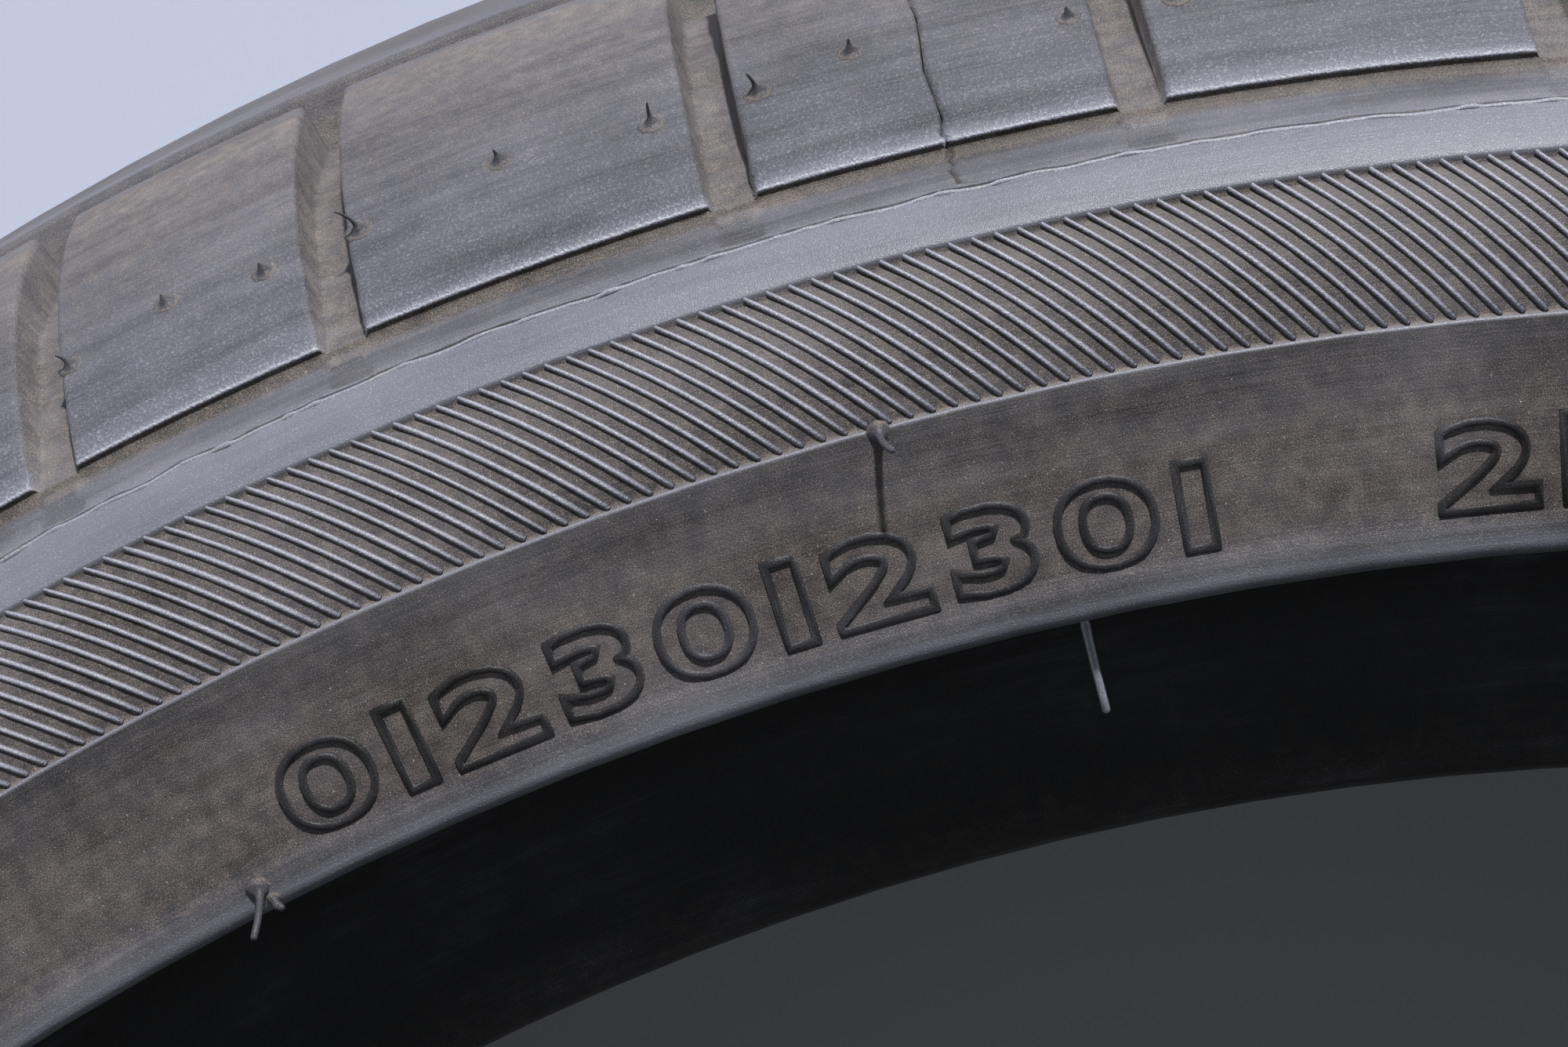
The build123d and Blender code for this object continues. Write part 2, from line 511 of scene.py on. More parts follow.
# Irregular waves round the axle: seed, fewest and most repeats of one wave, number of waves
edge_wave = (5, 90, 400, 14)
sway_wave = (11, 20, 300, 30)
flash_waves = ((21, 40, 1000, 40), (22, 40, 1000, 40))


def wave(turns, seed, low, high, count):
    """A smooth irregular wave round the axle, about -1 to 1, that closes on itself."""
    draw = np.random.default_rng(seed)
    total = np.zeros_like(turns, dtype=float)
    for _ in range(count):
        total += np.sin(np.radians(turns) * draw.integers(low, high) + draw.uniform(0, 2 * pi))
    return total / sqrt(count)


def groove_middles(sector):
    """Turns of a sector's grooves and of the first groove of the next sector."""
    start = first_groove + sector * sector_angle
    return [start + pitch * long_pitch for pitch in range(long_pitches + 1)] + [start + sector_angle]


def fine_ring(row, number):
    """Turns of the columns of a finely divided row, with their share of groove and of sipe."""
    to_turn = 180 / (pi * row.block[0])
    reach = groove_columns[-1][0] * to_turn
    columns = []
    for sector in range(sectors):
        middles = groove_middles(sector)
        sipe_middle = middles[0] + sipe_turn
        for pitch, (middle, following) in enumerate(zip(middles, middles[1:])):
            start, end = middle + reach, following - reach
            for offset, share in groove_columns:
                columns.append((middle + offset * row.narrow * to_turn, share, 0.0))
            if pitch == sipe_pitch:
                sway = sipe_sway * sin(sipe_sway_pace * number + sector)
                for offset, share in sipe_columns:
                    columns.append((sipe_middle + (offset + sway) * to_turn, 0.0, share))
                plain = [start + share * (sipe_middle - start) for share in beside_sipe]
                plain += [end - share * (end - sipe_middle) for share in beside_sipe]
            else:
                plain = start + block_shares * (end - start)
            columns += [(turn, 0.0, 0.0) for turn in plain]
    turns, groove, sipe = np.array(sorted(columns)).T
    edge = (groove > 0) & (groove < 1)
    ragged = edge_raggedness * to_turn * wave(turns + edge_shift * number, *edge_wave)
    return turns + np.where(edge, ragged, 0.0), groove, sipe


def round_axle(radius, angles, height):
    """Places at distances from the axle, at angles in radians and at heights."""
    return np.stack([radius * np.cos(angles), radius * np.sin(angles), height], axis=-1)


def ring_points(row, number, path):
    """Turns of the vertices of one row, their places in millimetres and their finish."""
    if row.fine:
        turns, groove, sipe = fine_ring(row, number)
    else:
        turns = coarse_turns
        groove = sipe = np.zeros(len(turns))
    block = np.array(row.block)
    place = np.tile(block, (len(turns), 1))
    if row.groove:
        place += groove[:, None] * (np.array(row.groove) - block)
    if row.sipe:
        place += sipe[:, None] * (np.array(row.sipe) - block)
    points = round_axle(place[:, 0], np.radians(turns), place[:, 1])
    dust = row.dust + np.minimum(1, groove_dust_onset * groove) * (row.groove_dust - row.dust)
    dust += sipe_dust * sipe
    # The bloom goes to nought down a sipe, which darkens its crease as painted shade.
    film = (row.film + groove * (min(row.film, groove_film) - row.film)) * (1 - sipe)
    pebble = row.pebble * (1 - groove_pebble_loss * groove)
    return turns, points, np.stack([dust, film, np.full(len(turns), path), pebble], axis=1)


def zipped(first, first_turns, second, second_turns):
    """Triangles between two closed rings that have different columns."""
    ahead_first = np.append(first_turns[1:], first_turns[0] + 360)
    ahead_second = np.append(second_turns[1:], second_turns[0] + 360)
    steps = [(turn, False) for turn in ahead_first] + [(turn, True) for turn in ahead_second]
    faces = []
    i = j = 0
    for _, on_second in sorted(steps):
        here, there = first[i % len(first)], second[j % len(second)]
        i, j = (i, j + 1) if on_second else (i + 1, j)
        faces.append((here, there, second[j % len(second)] if on_second else first[i % len(first)]))
    return faces


def add_object(name, data):
    """A new object in the scene."""
    made = bpy.data.objects.new(name, data)
    bpy.context.scene.collection.objects.link(made)
    return made


def make_piece(name, points, faces, finish, material):
    """A mesh piece that rides on the tyre: places in millimetres, and the finish of each vertex."""
    mesh = bpy.data.meshes.new(name)
    mesh.from_pydata((np.asarray(points) * MM).tolist(), [], faces)
    columns = np.asarray(finish, dtype=np.float32).T
    for attribute, column in zip(("dust", "film", "path", "pebble"), columns):
        layer = mesh.attributes.new(attribute, "FLOAT", "POINT")
        layer.data.foreach_set("value", np.ascontiguousarray(column))
    mesh.shade_smooth()
    mesh.materials.append(material)
    piece = add_object(name, mesh)
    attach(piece, "root")
    return piece


def make_body(material):
    """The whole moulding as one closed mesh: half of the section, and its turned mirror image."""
    rows = tread_rows() + shoulder_rows() + side_rows() + bead_rows() + lining_rows()
    places = np.array([row.block for row in rows])
    paths = np.append(0.0, np.cumsum(np.hypot(*np.diff(places, axis=0).T)))
    rings = [ring_points(row, number, path) for number, (row, path) in enumerate(zip(rows, paths))]
    points, finish, near, far = [], [], [], []
    total = 0
    turn = radians(far_side_turn)
    turned = np.array([[cos(turn), sin(turn), 0], [-sin(turn), cos(turn), 0], [0, 0, -1]])
    shift = round(far_side_turn * coarse_columns / 360)
    for number, (_, ring, ring_finish) in enumerate(rings):
        shared = number in (0, len(rings) - 1)
        copies = [ring] if shared else [ring, ring @ turned]
        index = total + np.arange(len(ring))
        near.append(index)
        far.append(np.roll(index, -shift) if shared else index + len(ring))
        points += copies
        finish += [ring_finish] * len(copies)
        total += len(copies) * len(ring)
    faces = []
    for half, outwards in ((near, True), (far, False)):
        for number in range(len(rings) - 1):
            first, second = half[number], half[number + 1]
            if len(first) == len(second):
                strip = np.stack([first, np.roll(first, -1), np.roll(second, -1), second], axis=1).tolist()
            else:
                turns = rings[number][0], rings[number + 1][0]
                strip = [face[::-1] for face in zipped(first.tolist(), turns[0], second.tolist(), turns[1])]
            faces += strip if outwards else [face[::-1] for face in strip]
    body = make_piece("tyre_body", np.concatenate(points), faces, np.concatenate(finish), material)
    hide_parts("tyre")
    return body


# Hatch: fine slanting ridges on the recessed band
ridge_count = 1011
ridge_slant = 0.182
ridge_bow = 0.0016
ridge_shares = np.array((0.0, 0.06, *np.linspace(0.13, 1.0, 6)))
ridge_start = 0.1
ridge_shortening = 0.35
ridge_clearance = 0.02

# Section of a ridge: distance across it, height, dust, film; the film over 1 on the crest paints a highlight
# along it
ridge_section = (
    (-0.29, -0.06, 0.5, 0.45), (-0.2, 0.18, 0.2, 0.9), (-0.08, 0.28, 0.0, 1.25),
    (0.06, 0.29, 0.0, 1.25), (0.19, 0.2, 0.2, 0.9), (0.29, -0.06, 0.5, 0.45),
)
ridge_pebble = 0.6

# Ridges stand higher at their outer end: distance from it, times the height; spread of height and width
ridge_rise = ((0.0, 1.7), (0.8, 1.2), (1.8, 1.0))
ridge_spread = (0.05, 0.06)


def on_side(turns, run, drop, far):
    """Places on the side arc of the near or the far sidewall."""
    radius, height = side_at(run, drop)
    angles = np.radians(turns + (far_side_turn if far else 0.0))
    return round_axle(radius, angles, -height if far else height).reshape(-1, 3)


def bar_faces(first, rings, width, inside_out):
    """Faces of a closed bar: the sides between its rings of vertices, and its two ends."""
    faces = []
    for start in range(first, first + (rings - 1) * width, width):
        for number in range(width):
            a, b = start + number, start + (number + 1) % width
            faces.append((a, b, b + width, a + width))
    last = first + (rings - 1) * width
    faces.append(tuple(range(first, first + width))[::-1])
    faces.append(tuple(range(last, last + width)))
    return [face[::-1] for face in faces] if inside_out else faces


def make_ridges(name, far, material):
    """All the ridges of one sidewall, each a closed bar with a rounded top."""
    runs = hatch_start + ridge_start + ridge_shares * (hatch_end - hatch_start - ridge_shortening)
    travel = runs - runs[0]
    rise = np.interp(travel, *zip(*ridge_rise))
    radius = side_at(runs)[0]
    lag = ridge_slant * travel + ridge_bow * travel * (travel[-1] - travel)
    slope = np.gradient(-lag, travel) * pi / 180 * radius
    length = np.hypot(slope, 1)
    section = np.array(ridge_section)
    steps = len(runs)
    width = len(section)
    points, faces, finish = [], [], []
    for number in range(ridge_count):
        start = number * 360 / ridge_count
        height = section[:, 1] * (1 + ridge_spread[0] * chance.standard_normal())
        across = section[:, 0] * (1 + ridge_spread[1] * chance.standard_normal())
        turns = start - lag[:, None] + np.degrees(across / length[:, None] / radius[:, None])
        run = runs[:, None] - across * (slope / length)[:, None]
        run = np.clip(run, hatch_start + ridge_clearance, hatch_end - ridge_clearance)
        drop = band_recess - height * rise[:, None]
        first = len(points) * steps * width
        points.append(on_side(turns, run, drop, far))
        faces += bar_faces(first, steps, width, inside_out=far)
        for path in runs:
            finish += [(dust, film, path, ridge_pebble) for _, _, dust, film in ridge_section]
    return make_piece(name, np.concatenate(points), faces, finish, material)


# Parting line of the mould: two thin ridges of flash, which sway and are ragged
flash_columns = 2400
flash_height = 0.16
flash_sway = 0.12
flash_mean = 0.35
flash_spread = 0.8
flash_limits = (0.05, 2.0)

# Section of the flash: distance across it, share of its height, or depth if below, dust, film; the film is
# high on the two crests to paint highlights there and low in the dip between them to paint shade in it
flash_section = (
    (-0.5, -0.12, 0.2, 0.7), (-0.24, 0.8, 0.2, 1.0), (-0.1, 0.1, 0.2, 0.25), (0.0, 0.1, 0.2, 0.25),
    (0.14, 1.0, 0.1, 1.25), (0.3, 0.4, 0.1, 1.1), (0.55, -0.12, 0.1, 0.87),
)


def make_flash(name, far, material):
    """The ragged line where the mould's rings meet, one closed strip round the sidewall."""
    turns = np.arange(flash_columns) * 360 / flash_columns
    sway = flash_sway * wave(turns, *sway_wave)
    waves = [wave(turns, *facts) for facts in flash_waves]
    ragged = [np.clip(flash_mean + flash_spread * each, *flash_limits) for each in waves]
    width = len(flash_section)
    points = np.zeros((flash_columns, width, 3))
    finish = np.zeros((flash_columns, width, 4))
    for side, (across, height, dust, film) in enumerate(flash_section):
        crest = ragged[0 if across < 0 else 1] * height * flash_height
        lift = crest if height > 0 else np.full_like(turns, height)
        points[:, side] = on_side(turns, parting_run + across + sway, -lift, far)
        finish[:, side] = (dust, film, parting_run, plain_pebble)
    faces = tube_faces(np.arange(flash_columns * width).reshape(-1, width))
    faces = faces[:, ::-1] if far else faces
    return make_piece(name, points.reshape(-1, 3), faces.tolist(), finish.reshape(-1, 4), material)


def tube_faces(index):
    """Faces of a strip that closes on itself both ways."""
    ahead = np.roll(index, -1, axis=0)
    beside = np.roll(index, -1, axis=1)
    return np.stack([index, ahead, np.roll(ahead, -1, axis=1), beside], axis=-1).reshape(-1, 4)


# Plain raised numbers on the label band, in outline: turn where a group starts, its digits
number_groups = ((25.0, "3210"), (12.2, "0123012301"), (-7.7, "210"))
number_digits = "0123"
number_base = 271.75
number_height = 6.2
number_stretch = 1.8
number_gap = 2.15

# How far a digit's outer outline and its counters are moved, across and up
number_bold = (0.35, 0.4)
counter_bold = (0.1, 0.1)

# How outlines are sampled, mitred and freed of folds and doubles
bend_samples = 16
outline_turn = radians(12)
least_step = 0.15
mitre_limit = 1.0
inner_mitre_limit = 0.3
fold_rounds = 20
fold_tolerance = 1e-6
weld_distance = 1e-7

# Section of a stroke: distance across it, height, dust, film
stroke_section = (
    (-0.36, -0.05, 0.5, 0.3), (-0.32, 0.14, 0.15, 0.2), (-0.2, 0.3, 0.05, 0.2),
    (0.2, 0.3, 0.05, 0.2), (0.32, 0.14, 0.15, 0.2), (0.36, -0.05, 0.5, 0.3),
)


def number_outlines(text):
    """Closed outlines of a digit of the built-in font, in millimetres, stretched and thickened."""
    curve = bpy.data.curves.new("outline", "FONT")
    curve.body = text
    holder = add_object("outline", curve)
    bpy.context.view_layer.update()
    outline = holder.to_curve(bpy.context.evaluated_depsgraph_get())
    loops = []
    for spline in outline.splines:
        knots = list(spline.bezier_points)
        loop = []
        for here, after in zip(knots, knots[1:] + knots[:1]):
            ends = (here.co, here.handle_right, after.handle_left, after.co)
            loop += interpolate_bezier(*ends, bend_samples)[:-1]
        loops.append(np.array(loop)[:, :2])
    holder.to_curve_clear()
    bpy.data.objects.remove(holder)
    bpy.data.curves.remove(curve)
    outer = max(loops, key=np.ptp)
    low, high = outer.min(axis=0), outer.max(axis=0)
    scale = number_height / (high[1] - low[1])
    size = np.array((scale * number_stretch, scale))
    outlines = []
    for loop in loops:
        bold = number_bold if loop is outer else counter_bold
        moved = moved_outline(few_points((loop - low) * size), np.array(bold))
        steps = np.linalg.norm(moved - np.roll(moved, 1, axis=0), axis=1)
        outlines.append(moved[steps > least_step])
    return outlines


def few_points(loop):
    """The points of a closed outline that its corners and bends need."""
    ahead = np.roll(loop, -1, axis=0) - loop
    heading = np.arctan2(ahead[:, 1], ahead[:, 0])
    turns = np.angle(np.exp(1j * (heading - np.roll(heading, 1))))
    kept = []
    total = 0.0
    for point, turn in zip(loop, turns):
        total += turn
        if abs(total) >= outline_turn:
            kept.append(point)
            total = 0.0
    return np.array(kept)


def moved_outline(loop, shift):
    """A closed outline moved out of the digit's strokes, with mitred corners; folds are drawn together."""
    ahead = np.roll(loop, -1, axis=0) - loop
    ahead /= np.linalg.norm(ahead, axis=1)[:, None]
    normal = np.stack([ahead[:, 1], -ahead[:, 0]], axis=1)
    before = np.roll(ahead, 1, axis=0)
    left_turn = before[:, 0] * ahead[:, 1] - before[:, 1] * ahead[:, 0] > 0
    outside = left_turn == (np.min(shift) > 0)
    both = normal + np.roll(normal, 1, axis=0)
    limit = np.where(outside, mitre_limit, inner_mitre_limit)
    moved = loop + 2 * both / np.maximum((both ** 2).sum(axis=1), limit)[:, None] * shift
    for _ in range(fold_rounds):
        onwards = ((np.roll(moved, -1, axis=0) - moved) * ahead).sum(axis=1)
        for here in np.flatnonzero(onwards < -fold_tolerance):
            after = (here + 1) % len(loop)
            moved[here] = moved[after] = (moved[here] + moved[after]) / 2
    return moved


def make_numbers(name, far, material):
    """Counting digits round the label band, twice: each outline is a low ridge with a flat top."""
    outlines = {digit: number_outlines(digit) for digit in number_digits}
    shifts, heights, _, _ = np.array(stroke_section).T
    width = len(stroke_section)
    stroke_finish = [(dust, film, 0.0, plain_pebble) for _, _, dust, film in stroke_section]
    middle_radius = number_base + number_height / 2
    points, faces, finish = [], [], []
    total = 0
    turned = far_side_turn if far else 0.0
    groups = [(start + turned + half, text) for half in (0, 180) for start, text in number_groups]
    for start, text in groups:
        travel = 0.0
        for digit in text:
            loops = outlines[digit]
            for loop in loops:
                places = np.stack([moved_outline(loop, shift) for shift in shifts], axis=1)
                radius = number_base + places[..., 1]
                angles = radians(start) - (travel + places[..., 0]) / middle_radius
                height = np.broadcast_to(section_half + heights, radius.shape)
                ridge = round_axle(radius, angles, -height if far else height)
                points.append(ridge.reshape(-1, 3))
                quads = tube_faces(total + np.arange(len(loop) * width).reshape(-1, width))
                faces += (quads if far else quads[:, ::-1]).tolist()
                finish += stroke_finish * len(loop)
                total += len(loop) * width
            reach = np.concatenate(loops)[:, 0]
            travel += reach.max() - reach.min() + number_gap
    piece = make_piece(name, np.concatenate(points), faces, finish, material)
    cleaner = bmesh.new()
    cleaner.from_mesh(piece.data)
    bmesh.ops.remove_doubles(cleaner, verts=cleaner.verts, dist=weld_distance)
    cleaner.to_mesh(piece.data)
    cleaner.free()
    return piece


# Vent spews: little rubber hairs, each on a boss that narrows like a cone
@dataclass
class Spew:
    """One hair: its place and lean, length and bend, radii at boss, foot and tip, mound as times the boss."""

    place: tuple
    turn: float
    lean: float
    length: float
    bend: float
    boss: float
    foot: float
    tip: float
    mound: float = 2.0
    film: float = 0.4


spew_sides = 8
spew_steps = 6
spew_dust = 0.12
tip_round = 0.6

# Boss of a hair: height over the surface, shares of the mound's, the boss's and the foot's radius, dust
boss_sunk = 0.3
boss_profile = (
    (-boss_sunk, 1.0, 0.0, 0.0, 0.5), (-0.04, 1.0, 0.0, 0.0, 0.5), (0.03, 0.5, 0.4, 0.0, 0.5),
    (0.07, 0.0, 1.0, 0.0, spew_dust), (0.25, 0.0, 0.8, 0.0, spew_dust), (0.5, 0.0, 0.35, 0.4, spew_dust),
    (0.8, 0.0, 0.0, 1.1, spew_dust),
)

# Bend of a hair: height where it starts, length added to it, share of droop
bend_start = 0.3
bend_room = 0.5
bend_droop = 0.2


def spew_stations(spew):
    """Distances along a hair, from under the surface to its tip, with its radius and dust there."""
    stations = []
    for height, of_mound, of_boss, of_foot, dust in boss_profile:
        radius = (of_mound * spew.mound + of_boss) * spew.boss + of_foot * spew.foot
        stations.append((boss_sunk + height, radius, dust))
    root = stations[-1][0]
    for step in range(1, spew_steps + 1):
        share = step / spew_steps
        stations.append((root + share * spew.length, spew.foot + share * (spew.tip - spew.foot), spew_dust))
    stations.append((root + spew.length + tip_round * spew.tip, tip_round * spew.tip, spew_dust))
    return stations


def make_spews(name, spews, far, material):
    """Hairs of rubber left by the mould's vents, each a closed tapering tube on a boss."""
    points, faces, finish = [], [], []
    around = np.arange(spew_sides) * 2 * pi / spew_sides
    for spew in spews:
        angle = radians(spew.turn + (far_side_turn if far else 0.0))
        out = Vector((cos(angle), sin(angle), 0))
        along = Vector((-sin(angle), cos(angle), 0))
        upright = Vector((0, 0, -1 if far else 1))
        normal = out * cos(spew.lean) + upright * sin(spew.lean)
        down = out * -sin(spew.lean) + upright * cos(spew.lean)
        base = out * spew.place[0] + upright * spew.place[1]
        tangent = normal.copy()
        centre = base - normal * boss_sunk
        stations = spew_stations(spew)
        first = len(points)
        previous = 0.0
        for distance, radius, dust in stations:
            step = distance - previous
            previous = distance
            if distance > boss_sunk + bend_start:
                share = step / (spew.length + bend_room)
                tangent = (tangent + share * spew.bend * (along + bend_droop * down)).normalized()
            centre = centre + tangent * step
            side = tangent.cross(down).normalized()
            other = tangent.cross(side)
            for turn in around:
                points.append(tuple(centre + radius * (side * cos(turn) + other * sin(turn))))
                finish.append((dust, spew.film, 0.0, plain_pebble))
        faces += bar_faces(first, len(stations), spew_sides, inside_out=False)
    return make_piece(name, points, faces, finish, material)


# Hairs of a sector's blocks: turn from the groove before, the middle or the groove after, length, bend
block_hairs = (
    ((0.95, 0.9, 0.3), (0.1, 0.3, -0.2), (-0.92, 1.1, 0.5)),
    ((0.73, 0.2, 0.2), (0.9, 0.5, -0.2), (-0.75, 1.2, 0.4)),
    ((0.93, 1.4, -0.2), (0.19, 0.5, 0.2), (-0.6, 1.9, 0.7)),
    ((1.02, 0.2, 0.0), (0.19, 0.15, 0.0), (-0.58, 0.9, 0.6)),
)
hair_runs = (12.4, 14.5, 12.4)
hair_lengths = (0.85, 1.15)
hair_bosses = (0.6, 0.75)
hair_foot = 0.18
hair_tip = 0.09

# Rods of the first sector's sidewall: on the label band, two on the protector rib, one under it
upwards = pi / 2
inwards = pi
under_rib = (protector_edge, protector_top - 3.3)
side_rods = (
    Spew((285.9, section_half), 1.04, upwards + 0.3, 3.2, -0.35, 0.85, 0.32, 0.28, mound=1.25),
    Spew((269.5, protector_top), 13.35, upwards + 0.5, 4.2, 0.4, 0.95, 0.32, 0.29, mound=1.2),
    Spew((268.3, protector_top), 13.2, upwards + 0.8, 0.5, -0.9, 0.5, 0.38, 0.3, mound=1.2),
    # This rod has full film, which makes it pale partly as bloom and partly as painted light on it.
    Spew(under_rib, -1.5, inwards, 7.2, -0.05, 0.5, 0.36, 0.34, mound=1.2, film=1.0),
)


def tread_spews():
    """Three hairs a block, near its two sides and in its middle, of uneven length."""
    spews = []
    for sector in range(sectors):
        middles = groove_middles(sector)
        for hairs, before, after in zip(block_hairs, middles, middles[1:]):
            origins = (before, (before + after) / 2, after)
            for (turn, length, bend), run, origin in zip(hairs, hair_runs, origins):
                lean = edge_lean - run / shoulder_radius
                length *= float(chance.uniform(*hair_lengths))
                boss = float(chance.uniform(*hair_bosses))
                hair = (length, bend, boss, hair_foot, hair_tip)
                spews.append(Spew(shoulder_at(run), origin + turn, lean, *hair))
    return spews


def side_spews():
    """The rods of the sidewall, repeated in each sector."""
    turns = [sector * sector_angle for sector in range(sectors)]
    return [replace(rod, turn=turn + rod.turn) for turn in turns for rod in side_rods]


class Shader:
    """Short ways to add nodes to a material."""

    def __init__(self, name):
        self.material = bpy.data.materials.new(name)
        self.material.use_nodes = True
        self.tree = self.material.node_tree
        self.surface = self.tree.nodes["Principled BSDF"]

    def node(self, kind, inputs=None, **settings):
        """A new node with its settings and inputs."""
        made = self.tree.nodes.new("ShaderNode" + kind)
        for name, value in settings.items():
            setattr(made, name, value)
        self.fill(made, inputs or {})
        return made

    def fill(self, node, inputs):
        """Links inputs of a node that are given a socket, and sets the others."""
        for name, value in inputs.items():
            if isinstance(value, bpy.types.NodeSocket):
                self.tree.links.new(value, node.inputs[name])
            else:
                node.inputs[name].default_value = value

    def place(self):
        """Places in the tyre's own frame, in metres."""
        return self.node("TexCoord").outputs["Object"]

    def attribute(self, name):
        """A value kept at each vertex."""
        return self.node("Attribute", attribute_name=name).outputs["Fac"]

    def noise(self, where, size, detail, roughness=0.5):
        """Noise of a size in millimetres."""
        inputs = {"Vector": where, "Scale": 1 / (size * MM), "Detail": detail, "Roughness": roughness}
        return self.node("TexNoise", inputs).outputs["Fac"]

    def math(self, operation, first, *others):
        """Values joined one after another by an operation."""
        for other in others:
            first = self.node("Math", {0: first, 1: other}, operation=operation).outputs[0]
        return first

    def plus(self, *values):
        """The sum of values."""
        return self.math("ADD", *values)

    def times(self, *values):
        """The product of values."""
        return self.math("MULTIPLY", *values)

    def swing(self, noise, size):
        """Noise about nought, of a size."""
        return self.times(self.math("SUBTRACT", noise, 0.5), size)

    def rise(self, value, start, end, low=0.0, high=1.0):
        """A smooth rise from low to high as a value goes from start to end."""
        inputs = {"Value": value, "From Min": start, "From Max": end, "To Min": low, "To Max": high}
        return self.node("MapRange", inputs, interpolation_type="SMOOTHSTEP").outputs["Result"]

    def mix(self, share, first, second):
        """One colour passing into another."""
        return self.node("Mix", {0: share, 6: first, 7: second}, data_type="RGBA").outputs[2]


# Colours of the rubber: clean, so dark that it also paints the shade on the flange; under its bloom; worn
# pale, which also paints the highlights on edges and crests; of dust and of grit
clean_and_shade_colour = (0.011, 0.011, 0.0115, 1.0)
bloom_colour = (0.19, 0.196, 0.236, 1.0)
worn_and_highlight_colour = (0.5, 0.51, 0.59, 1.0)
dark_dust_colour = (0.13, 0.106, 0.09, 1.0)
pale_dust_colour = (0.3, 0.252, 0.217, 1.0)
grit_colour = (0.58, 0.53, 0.48, 1.0)

# How strongly each thing shows
uneven_bloom = 0.62
uneven_dust = 0.15
glint_strength = 0.56
grit_strength = 0.8
grit_in_dust = 0.06
specular_level = 0.3

# Relief in millimetres
grain_relief = 0.045
cobble_relief = 0.13
line_relief = 0.02
grit_relief = 0.05


def rubber_material():
    """Moulded rubber: grey bloom with a painted sheen, painted highlights and painted glints, brown dust that
    lies in the low places, grit and a fine grain.
    """
    s = Shader("rubber")
    where = s.place()
    dust, film, pebble = [s.attribute(name) for name in ("dust", "film", "pebble")]
    parts = s.node("SeparateXYZ", {"Vector": where})
    path = s.times(s.attribute("path"), MM)

    def drawn_out(times):
        """Places drawn out across the section, so that noise runs round the tyre."""
        inputs = {"X": s.times(path, times), "Y": parts.outputs["X"], "Z": parts.outputs["Y"]}
        return s.node("CombineXYZ", inputs).outputs["Vector"]

    grain = s.noise(where, size=0.11, detail=1.0)
    cobble = s.noise(where, size=0.3, detail=1.0)
    lumps = s.noise(where, size=1.6, detail=3.0)
    blotch = s.noise(where, size=17.0, detail=4.0, roughness=0.6)
    streak = s.noise(drawn_out(times=9.0), size=26.0, detail=4.0, roughness=0.6)
    lines = s.noise(drawn_out(times=70.0), size=14.0, detail=2.0)
    gravel = s.noise(where, size=0.23, detail=2.0, roughness=0.7)

    # Bloom: a grey film in streaks, blotches and fine lines, palest where it is worn and where a highlight is
    # painted, with bright specks that are painted glints
    uneven = s.plus(s.swing(blotch, 0.9), s.swing(streak, 0.9), s.swing(lines, 0.45))
    bloom = s.rise(s.plus(film, s.times(uneven, uneven_bloom)), 0.0, 1.1)
    wear_and_highlight = s.rise(s.plus(film, s.swing(grain, 0.6)), 0.95, 1.6)
    bright = s.plus(s.swing(grain, 1.0), s.times(s.swing(cobble, 1.0), pebble))
    painted_glint = s.times(s.rise(bright, 0.06, 0.3), bloom, glint_strength)
    colour = s.mix(bloom, clean_and_shade_colour, bloom_colour)
    colour = s.mix(wear_and_highlight, colour, worn_and_highlight_colour)
    colour = s.mix(painted_glint, colour, worn_and_highlight_colour)

    # Dust: thick where the vertices say so, broken up by the grain
    broken = s.plus(s.swing(grain, 0.9), s.swing(lumps, 0.3))
    dusty = s.rise(s.plus(dust, broken, s.times(uneven, uneven_dust)), 0.05, 1.15)
    tone = s.rise(s.plus(grain, s.swing(lumps, 0.6)), 0.3, 0.75)
    colour = s.mix(dusty, colour, s.mix(tone, dark_dust_colour, pale_dust_colour))

    # Grit: scattered pale grains of uneven size
    loose = s.rise(s.plus(gravel, s.times(dust, grit_in_dust)), 0.7, 0.76)
    grit = s.times(loose, s.rise(dust, 0.1, 0.45))
    colour = s.mix(s.times(grit, grit_strength), colour, grit_colour)

    # Sheen: rough where it is dusty, smoother where it is worn
    polish = s.rise(film, 0.6, 1.0, high=0.1)
    rough = s.math("SUBTRACT", s.rise(dusty, 0.0, 1.0, low=0.42, high=0.85), polish)
    rough = s.plus(rough, s.swing(lumps, 0.15))

    # Relief of the grain, the pebbles, the lines and the grit
    relief = s.plus(
        s.times(grain, grain_relief),
        s.times(cobble, pebble, cobble_relief),
        s.times(lines, line_relief),
        s.times(grit, grit_relief),
    )
    bump = s.node("Bump", {"Height": relief, "Strength": 1.0, "Distance": MM})
    s.fill(s.surface, {"Base Color": colour, "Roughness": rough, "Normal": bump.outputs["Normal"]})
    s.fill(s.surface, {"Specular IOR Level": specular_level})
    return s.material


# Floor in metres: half its width, and where its grey passes into a cooler tone
floor_reach = 12.0
floor_fade = (0.27, 0.36)
floor_grey = (0.84, 0.83, 0.82, 1.0)
floor_cool = (0.66, 0.72, 0.89, 1.0)
floor_roughness = 0.8

# Lamps: name, azimuth, elevation, softness, strength, colour; and the dim light from all round
lamps = (
    ("key", -18.0, 27.0, 4.0, 4.6, (1.0, 0.98, 0.97)),
    ("left", 100.0, 15.0, 30.0, 0.5, (0.95, 0.97, 1.0)),
    ("right", -115.0, 15.0, 30.0, 0.5, (0.95, 0.97, 1.0)),
)
ambient_colour = (0.85, 0.91, 1.0, 1.0)
ambient_strength = 0.12

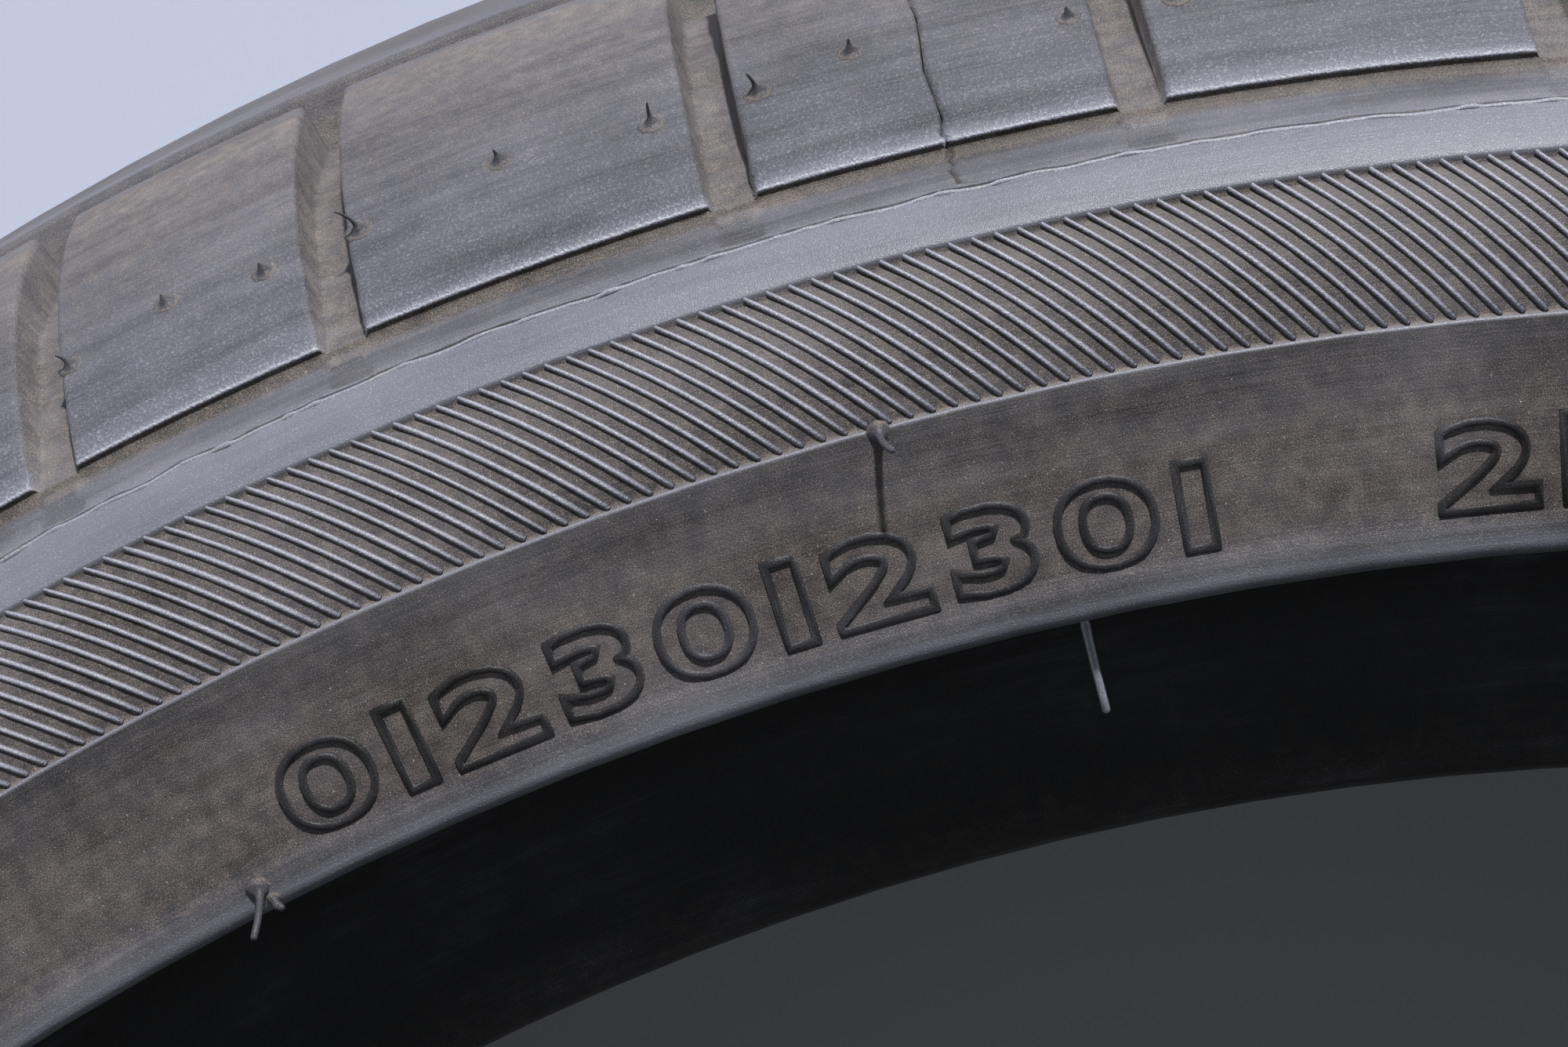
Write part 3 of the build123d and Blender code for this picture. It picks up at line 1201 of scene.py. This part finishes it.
# Camera: its place in metres, where it looks in degrees, its lens and sensor in millimetres
camera_place = (0.3205, 0.0, 0.3751)
camera_heading = (160.434, -80.329)
camera_roll = 185.364
camera_lens = 73.46
camera_sensor = 36.0
camera_clip = 0.01


def floor_material():
    """A pale studio floor, grey in the middle and cooler beyond the tyre."""
    s = Shader("floor")
    away = s.node("VectorMath", {0: s.place()}, operation="LENGTH").outputs["Value"]
    beyond = s.rise(away, *floor_fade)
    colour = s.mix(beyond, floor_grey, floor_cool)
    s.fill(s.surface, {"Base Color": colour, "Roughness": floor_roughness})
    return s.material


def make_floor(material):
    """A wide flat floor under the tyre, which isn't part of it."""
    signs = ((-1, -1), (1, -1), (1, 1), (-1, 1))
    corners = [(x * floor_reach, y * floor_reach, cad_box[0].z) for x, y in signs]
    mesh = bpy.data.meshes.new("floor")
    mesh.from_pydata(corners, [], [(0, 1, 2, 3)])
    mesh.materials.append(material)
    floor = add_object("floor", mesh)


def heading(azimuth, elevation):
    """The direction that two angles in degrees give."""
    flat = cos(radians(elevation))
    return Vector((flat * cos(radians(azimuth)), flat * sin(radians(azimuth)), sin(radians(elevation))))


def make_lamp(name, azimuth, elevation, softness, strength, colour):
    """A far lamp in a direction; its softness is its width in degrees."""
    light = bpy.data.lights.new(name, "SUN")
    light.angle = radians(softness)
    light.energy = strength
    light.color = colour
    lamp = add_object(name, light)
    lamp.rotation_euler = heading(azimuth, elevation).to_track_quat("Z", "Y").to_euler()


def make_world():
    """Dim cool light from all round."""
    world = bpy.data.worlds.new("studio")
    world.use_nodes = True
    bpy.context.scene.world = world
    ambient = world.node_tree.nodes["Background"]
    ambient.inputs["Color"].default_value = ambient_colour
    ambient.inputs["Strength"].default_value = ambient_strength


def make_camera():
    """The photograph's view: close over the upper sidewall, almost straight down."""
    ahead = heading(*camera_heading)
    right = ahead.cross(Vector((0, 0, 1))).normalized()
    up = right.cross(ahead)
    roll = radians(camera_roll)
    turned_right = right * cos(roll) + up * sin(roll)
    turned_up = up * cos(roll) - right * sin(roll)
    view = bpy.data.cameras.new("camera")
    view.lens = camera_lens
    view.sensor_width = camera_sensor
    view.clip_start = camera_clip
    camera = add_object("camera", view)
    camera.matrix_world = Matrix((turned_right, turned_up, -ahead)).transposed().to_4x4()
    camera.location = camera_place
    bpy.context.scene.camera = camera


rubber = rubber_material()
make_body(rubber)
for far in (False, True):
    side = "far" if far else "near"
    make_ridges("hatch_ridges_" + side, far, rubber)
    make_flash("parting_line_" + side, far, rubber)
    make_numbers("raised_numbers_" + side, far, rubber)
    make_spews("tread_spews_" + side, tread_spews(), far, rubber)
make_spews("side_spews_near", side_spews(), False, rubber)

make_floor(floor_material())
for lamp in lamps:
    make_lamp(*lamp)
make_world()
make_camera()
bpy.context.scene.view_settings.view_transform = "Standard"
